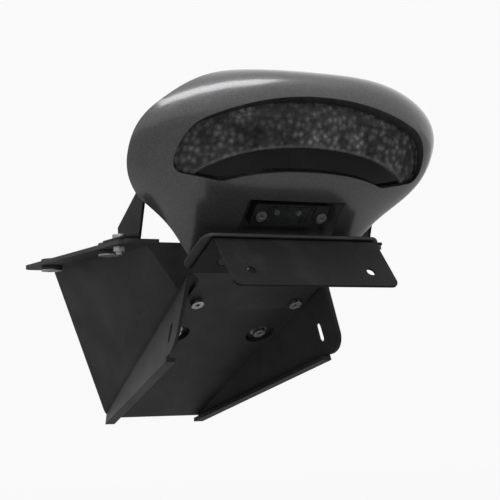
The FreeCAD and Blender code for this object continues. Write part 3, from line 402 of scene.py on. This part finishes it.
def softened(node, width, shortest=0.0, clamp=False):
    """A copy of a solid with its sharp outer edges rounded, which is shown in its place."""
    body = welded(node)
    bmesh.ops.dissolve_limit(body, angle_limit=FLAT_ANGLE, verts=body.verts, edges=body.edges)
    sharp = [edge for edge in body.edges if len(edge.link_faces) == 2 and edge.is_convex
             and edge.calc_face_angle(0.0) > SHARP_ANGLE and edge.calc_length() > shortest]
    bmesh.ops.bevel(body, geom=sharp, offset=width, offset_type="OFFSET", segments=2, profile=0.5,
                    affect="EDGES", clamp_overlap=clamp)
    mesh = mesh_of(f"{node}_rounded", body)
    smooth(mesh, degrees=40)
    copy = piece(f"{node}_rounded", mesh, SLOT_OF[node])
    shading = copy.modifiers.new("face_weights", "WEIGHTED_NORMAL")
    shading.keep_sharp = True
    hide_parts(node)


# How far in from each sharp edge the rounding starts
ROUNDED_EDGES = {
    "plate_bracket": 0.0005, "rear_panel": 0.0008, "plate_lamp_housing": 0.0005,
    "left_side_bracket": 0.0004, "right_side_bracket": 0.0004, "inner_strap": 0.0004,
    "seam_screws": 0.0004, "seam_nuts": 0.0004, "dimple_bolts": 0.0004, "dimple_washers": 0.0002,
    "dimple_nuts": 0.0004, "bracket_bolts": 0.0004, "bracket_washers": 0.0002, "bracket_nuts": 0.0004,
    "light_screws": 0.0003, "plate_lamp_screws": 0.0003, "cowl_screws": 0.0003, "side_bolts": 0.0004,
    "side_nuts": 0.0004, "panel_rivets": 0.0006, "mount_grommets": 0.0006, "mount_collars": 0.0003,
    "cable_grommet": 0.0005, "led_board": 0.0002, "plate_lamp_board": 0.0002, "tail_leds": 0.0006,
    "plate_lamp_leds": 0.0005, "plate_lamp_lens": 0.0003,
}
for name, width in ROUNDED_EDGES.items():
    softened(name, width)

# The undertray has many short edges round its dimples and ribs, so only its long edges are rounded
softened("undertray", 0.0006, shortest=0.01, clamp=True)


def pillow(body, grid, steps, thick):
    """A closed pillow over a square grid of places, each with its foot's depth and its dome's rise."""
    front = []
    back = []
    for spot, foot, dome in grid:
        front.append(body.verts.new((spot.x, foot - dome, spot.z)))
        back.append(body.verts.new((spot.x, foot + thick, spot.z)))
    for j in range(steps - 1):
        for i in range(steps - 1):
            first = j * steps + i
            square = (first, first + 1, first + steps + 1, first + steps)
            body.faces.new([front[corner] for corner in square])
            body.faces.new([back[corner] for corner in reversed(square)])
    last = steps - 1
    rim = [(i, 0) for i in range(last)] + [(last, j) for j in range(last)]
    rim += [(last - i, last) for i in range(last)] + [(0, last - j) for j in range(last)]
    rim = [j * steps + i for i, j in rim]
    for first, second in zip(rim, rim[1:] + rim[:1]):
        body.faces.new((front[second], front[first], back[first], back[second]))


def light_optics(pitch=0.0052, rise=0.0013, thick=0.0006, sunk=0.0002, steps=5):
    """Rows of small pillows: bright ones on the reflector, clear ones over the lamps' windows."""
    depsgraph = bpy.context.evaluated_depsgraph_get()
    reflector = BVHTree.FromObject(NODES["light_reflector"], depsgraph)
    low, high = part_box("light_reflector")
    lamps_low, lamps_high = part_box("tail_leds")
    lamp_row = (lamps_low.z + lamps_high.z) / 2
    half = 0.48 * pitch
    steepest = 2.4 * pitch
    ray_start = Vector((0, low.y - 0.1, 0))
    forward = Vector((0, 1, 0))
    columns = int((high.x - low.x) / pitch)
    rows = int((high.z - low.z) / pitch)
    shares = [2 * step / (steps - 1) - 1 for step in range(steps)]
    bodies = {"reflector_facets": bmesh.new(), "lamp_optics": bmesh.new()}
    for row in range(rows + 1):
        for column in range(columns + 1):
            middle = Vector(((column - columns / 2) * pitch, 0, low.z + (row + 0.5) * pitch))
            places = []
            for up in shares:
                for across in shares:
                    spot = middle + Vector((across, 0, up)) * half
                    hit = reflector.ray_cast(ray_start + spot, forward)[0]
                    places.append((spot, hit, rise * (1 - across * across) * (1 - up * up)))
            depths = [hit.y for spot, hit, dome in places if hit is not None]
            whole = len(depths) == len(places)
            over_lamp = abs(middle.z - lamp_row) < 2 * pitch and abs(middle.x) < lamps_high.x + pitch
            if not depths or max(depths) - min(depths) > steepest or not (whole or over_lamp):
                continue
            mean = sum(depths) / len(depths)
            grid = [(spot, (mean if hit is None else hit.y) + sunk, dome) for spot, hit, dome in places]
            pillow(bodies["reflector_facets" if whole else "lamp_optics"], grid, steps, thick)
    for name, slot in (("reflector_facets", "bright_reflector"), ("lamp_optics", "clear_lens")):
        mesh = mesh_of(name, bodies[name])
        smooth(mesh, degrees=60)
        piece(name, mesh, slot)


def plate_lamp_ribs(count=13, half_long=0.0068, radius=0.0009, steps=6):
    """Half-round ribs across the plate lamp's clear lens."""
    forward = Vector((0, math.cos(LAMP_TILT), -math.sin(LAMP_TILT)))
    out = Vector((0, -math.sin(LAMP_TILT), -math.cos(LAMP_TILT)))
    face = LAMP_PLACE - out * LAMP_FACE
    low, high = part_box("plate_lamp_lens")
    pitch = (high.x - low.x - 2 * radius) / count
    height = 0.7 * radius
    body = bmesh.new()
    for number in range(count):
        x = low.x + radius + (number + 0.5) * pitch
        rings = []
        for end in (-1, 1):
            ring = []
            for step in range(steps + 1):
                turn = math.pi * step / steps
                shape = Vector((math.cos(turn) * radius, 0, 0)) + out * (math.sin(turn) * height)
                ring.append(body.verts.new(face + Vector((x, 0, 0)) + shape + forward * (end * half_long)))
            rings.append(ring)
        for step in range(steps):
            body.faces.new((rings[0][step], rings[1][step], rings[1][step + 1], rings[0][step + 1]))
        body.faces.new(rings[0])
        body.faces.new(rings[1][::-1])
        body.faces.new((rings[0][0], rings[0][-1], rings[1][-1], rings[1][0]))
    bmesh.ops.recalc_face_normals(body, faces=body.faces)
    mesh = mesh_of("plate_lamp_ribs", body)
    smooth(mesh, degrees=50)
    piece("plate_lamp_ribs", mesh, "clear_lens")


def islands(body):
    """The corners of each separate solid in a working mesh."""
    left = set(body.verts)
    groups = []
    for start in body.verts:
        if start not in left:
            continue
        left.discard(start)
        group = []
        front = [start]
        while front:
            corner = front.pop()
            group.append(corner)
            for edge in corner.link_edges:
                other = edge.other_vert(corner)
                if other in left:
                    left.discard(other)
                    front.append(other)
        groups.append(group)
    return groups


def threads(name, node, axis, radius=0.0025, pitch=0.0008, turns=2, steps=24):
    """Screw threads round the free ends of a node's bolts, which point along an axis."""
    crest = 0.0003
    foot = radius - 0.0001
    flank = axis * (0.4 * pitch)
    chamfer = 0.0003
    tip_depth = 0.0001
    fade_steps = 6
    count = turns * steps
    across = axis.orthogonal().normalized()
    other = axis.cross(across)
    solids = welded(node)
    body = bmesh.new()
    for bolt in islands(solids):
        top = max(corner.co.dot(axis) for corner in bolt)
        tip = [corner.co for corner in bolt if corner.co.dot(axis) > top - tip_depth]
        middle = sum(tip, Vector()) / len(tip)
        rings = []
        for step in range(count + 1):
            turn = 2 * math.pi * step / steps
            out = across * math.cos(turn) + other * math.sin(turn)
            place = middle - axis * (chamfer + pitch * step / steps)
            rise = crest * min(1, step / fade_steps, (count - step) / fade_steps)
            rings.append([body.verts.new(place + out * foot + flank),
                          body.verts.new(place + out * (radius + rise)),
                          body.verts.new(place + out * foot - flank)])
        for first, second in zip(rings, rings[1:]):
            for a, b in ((0, 1), (1, 2), (2, 0)):
                body.faces.new((first[a], first[b], second[b], second[a]))
        body.faces.new(rings[0])
        body.faces.new(rings[-1][::-1])
    solids.free()
    bmesh.ops.recalc_face_normals(body, faces=body.faces)
    mesh = mesh_of(name, body)
    smooth(mesh, degrees=50)
    piece(name, mesh, "zinc_steel")


light_optics()
plate_lamp_ribs()
for pair in ("seam_screws", "dimple_bolts", "bracket_bolts"):
    threads(f"{pair}_threads", pair, SLOPE_NORMAL)
threads("side_bolts_threads", "side_bolts", DOWN)


# Stage, light and camera


def seen_share(tree, direct, mirrored):
    """A share for the camera's rays, another for gloss and clear things, and none for light on the tail."""
    rays = tree.nodes.new("ShaderNodeLightPath")
    shares = {"Is Camera Ray": direct, "Is Glossy Ray": mirrored, "Is Transmission Ray": mirrored}
    value = None
    for kind, share in shares.items():
        scaled = tree.nodes.new("ShaderNodeMath")
        scaled.operation = "MULTIPLY"
        scaled.inputs[1].default_value = share
        tree.links.new(rays.outputs[kind], scaled.inputs[0])
        if value is None:
            value = scaled.outputs[0]
            continue
        either = tree.nodes.new("ShaderNodeMath")
        either.operation = "MAXIMUM"
        tree.links.new(value, either.inputs[0])
        tree.links.new(scaled.outputs[0], either.inputs[1])
        value = either.outputs[0]
    return value


def stage():
    """A wide pale floor, nearly white to the camera, so that it runs into the surround."""
    pale = Shader("stage_pale", (FLOOR_GREY, FLOOR_GREY, FLOOR_GREY), 0.9)
    pale.colour(pale.ramp(pale.noise(1.5, 3), ((0.3, FLOOR_GREY * 0.97), (0.7, FLOOR_GREY))))
    glow = pale.add("ShaderNodeEmission")
    glow.inputs["Strength"].default_value = FLOOR_WHITE_LEVEL
    blend = pale.add("ShaderNodeMixShader")
    pale.link(seen_share(pale.tree, FLOOR_SEEN_SHARE, FLOOR_MIRRORED_SHARE), blend.inputs[0])
    pale.link(pale.surface.outputs[0], blend.inputs[1])
    pale.link(glow.outputs[0], blend.inputs[2])
    pale.link(blend.outputs[0], pale.tree.nodes["Material Output"].inputs["Surface"])
    signs = ((-1, -1), (1, -1), (1, 1), (-1, 1))
    mesh = bpy.data.meshes.new("floor")
    mesh.from_pydata([(x * FLOOR_HALF, y * FLOOR_HALF, FLOOR_HEIGHT) for x, y in signs], [], [(0, 1, 2, 3)])
    mesh.materials.append(pale.material)
    floor = bpy.data.objects.new("floor", mesh)
    bpy.context.collection.objects.link(floor)


def sky():
    """A pale surround: white to the camera and to reflections, softer as light on the object."""
    world = bpy.data.worlds.new("surround")
    bpy.context.scene.world = world
    world.use_nodes = True
    tree = world.node_tree
    tree.nodes.clear()
    dim = tree.nodes.new("ShaderNodeBackground")
    dim.inputs["Color"].default_value = (1, 1, 1, 1)
    dim.inputs["Strength"].default_value = SURROUND_LIGHT_LEVEL
    white = tree.nodes.new("ShaderNodeBackground")
    white.inputs["Color"].default_value = (1, 1, 1, 1)
    white.inputs["Strength"].default_value = SURROUND_WHITE_LEVEL
    blend = tree.nodes.new("ShaderNodeMixShader")
    tree.links.new(seen_share(tree, 1.0, 1.0), blend.inputs[0])
    tree.links.new(dim.outputs[0], blend.inputs[1])
    tree.links.new(white.outputs[0], blend.inputs[2])
    out = tree.nodes.new("ShaderNodeOutputWorld")
    tree.links.new(blend.outputs[0], out.inputs["Surface"])


def lamp(name, place, size, watts, mirrored):
    """A soft lamp of a width and a depth, turned to the tail, that shows in gloss or not."""
    light = bpy.data.lights.new(name, "AREA")
    light.shape = "RECTANGLE"
    light.size = size[0]
    light.size_y = size[1]
    light.energy = watts
    holder = bpy.data.objects.new(name, light)
    holder.location = place
    holder.rotation_euler = (TAIL - Vector(place)).to_track_quat("-Z", "Y").to_euler()
    holder.visible_glossy = mirrored
    bpy.context.collection.objects.link(holder)


def camera():
    """A long lens turned to the tail, with a slight lean."""
    lens = bpy.data.cameras.new("camera")
    lens.lens = CAMERA_LENS_MM
    lens.sensor_width = SENSOR_MM
    holder = bpy.data.objects.new("camera", lens)
    holder.location = CAMERA_PLACE
    aim = (CAMERA_AIM - CAMERA_PLACE).to_track_quat("-Z", "Y")
    holder.rotation_euler = (aim @ Quaternion((0, 0, 1), CAMERA_ROLL)).to_euler()
    bpy.context.collection.objects.link(holder)
    bpy.context.scene.camera = holder


stage()
sky()
for name, (place, size, watts, mirrored) in LAMPS.items():
    lamp(name, place, size, watts, mirrored)
camera()

bpy.context.scene.view_settings.view_transform = "Standard"
